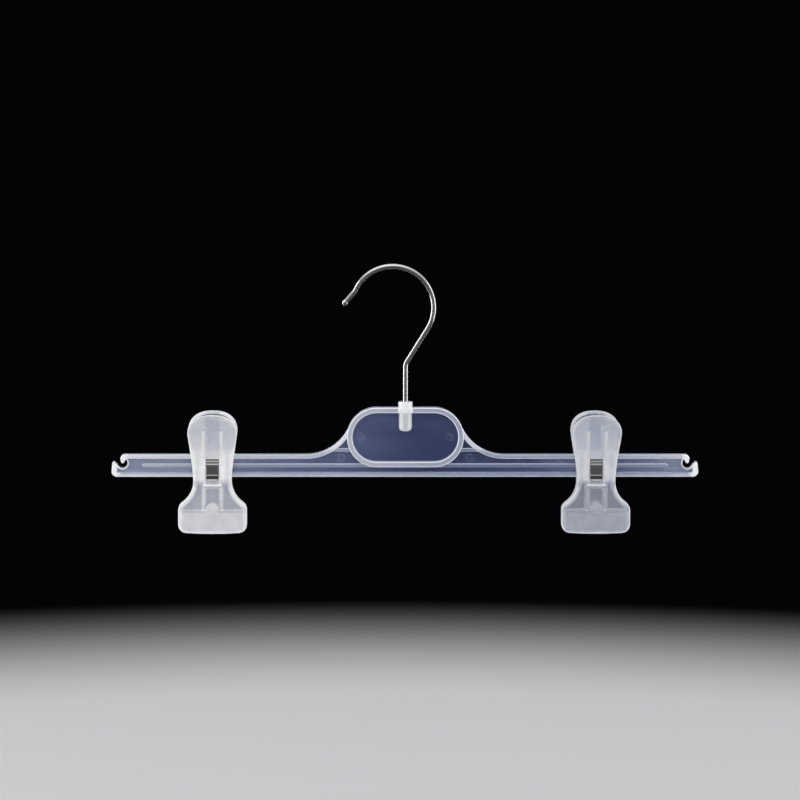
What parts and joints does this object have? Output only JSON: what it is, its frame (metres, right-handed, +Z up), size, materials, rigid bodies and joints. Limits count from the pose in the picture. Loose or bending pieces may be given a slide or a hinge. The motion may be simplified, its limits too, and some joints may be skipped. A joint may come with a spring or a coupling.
{
  "type": "clip hanger",
  "caption": "Clear plastic skirt and trouser hanger: an I-section beam with an oval label ring, a turning wire hook, and sprung clips that slide along the beam.",
  "frame": {"origin": "where the hook's inner side rests on a rail, straight above the axis that the hook turns on", "axes": "+X along the beam, -Y out of the front, +Z up, with the hanger hanging below the origin"},
  "size_m": [0.35, 0.0318, 0.1612],
  "materials": {
    "bright_wire": "polished wire",
    "clear_plastic": "clear glossy moulding with a faint blue tint",
    "frosted_plastic": "milky clear moulding",
    "soft_clear": "soft clear grip",
    "spring_steel": "rolled spring steel"
  },
  "bodies": {
    "hook_body": {"hook": "bright_wire"},
    "hanger": {"beam": "clear_plastic"},
    "left_clip": {"left_spring": "spring_steel"},
    "left_front_jaw_body": {"left_front_jaw": "frosted_plastic", "left_front_pad": "soft_clear"},
    "left_rear_jaw_body": {"left_rear_jaw": "frosted_plastic", "left_rear_pad": "soft_clear"},
    "right_clip": {"right_spring": "spring_steel"},
    "right_front_jaw_body": {"right_front_jaw": "frosted_plastic", "right_front_pad": "soft_clear"},
    "right_rear_jaw_body": {"right_rear_jaw": "frosted_plastic", "right_rear_pad": "soft_clear"}
  },
  "joints": [
    {"name": "hook_swivel", "type": "hinge", "parent": "hook_body", "child": "hanger", "pos_m": [0, 0, -0.085], "axis": [0, 0, 1], "continuous": true},
    {"name": "left_clip_slide", "type": "slide", "parent": "hanger", "child": "left_clip", "axis": [1, 0, 0], "range_m": [-0.0371, 0.0539]},
    {"name": "left_front_jaw_hinge", "type": "hinge", "parent": "left_clip", "child": "left_front_jaw_body", "pos_m": [-0.1149, -0.00355, -0.11028], "axis": [-1, 0, 0], "range_deg": [0, 14], "stiffness_Nm_per_rad": 0.4, "springref_deg": -20.05, "deforming": ["left_spring"]},
    {"name": "left_rear_jaw_hinge", "type": "hinge", "parent": "left_clip", "child": "left_rear_jaw_body", "pos_m": [-0.1149, 0.00355, -0.11028], "axis": [1, 0, 0], "range_deg": [0, 14], "deforming": ["left_spring"]},
    {"name": "right_clip_slide", "type": "slide", "parent": "hanger", "child": "right_clip", "axis": [1, 0, 0], "range_m": [-0.0529, 0.0381]},
    {"name": "right_front_jaw_hinge", "type": "hinge", "parent": "right_clip", "child": "right_front_jaw_body", "pos_m": [0.1139, -0.00355, -0.11028], "axis": [-1, 0, 0], "range_deg": [0, 14], "stiffness_Nm_per_rad": 0.4, "springref_deg": -20.05, "deforming": ["right_spring"]},
    {"name": "right_rear_jaw_hinge", "type": "hinge", "parent": "right_clip", "child": "right_rear_jaw_body", "pos_m": [0.1139, 0.00355, -0.11028], "axis": [1, 0, 0], "range_deg": [0, 14], "deforming": ["right_spring"]}
  ],
  "couplings": [
    {"joint": "left_rear_jaw_hinge", "follows": "left_front_jaw_hinge", "ratio": 1},
    {"joint": "right_rear_jaw_hinge", "follows": "right_front_jaw_hinge", "ratio": 1}
  ]
}
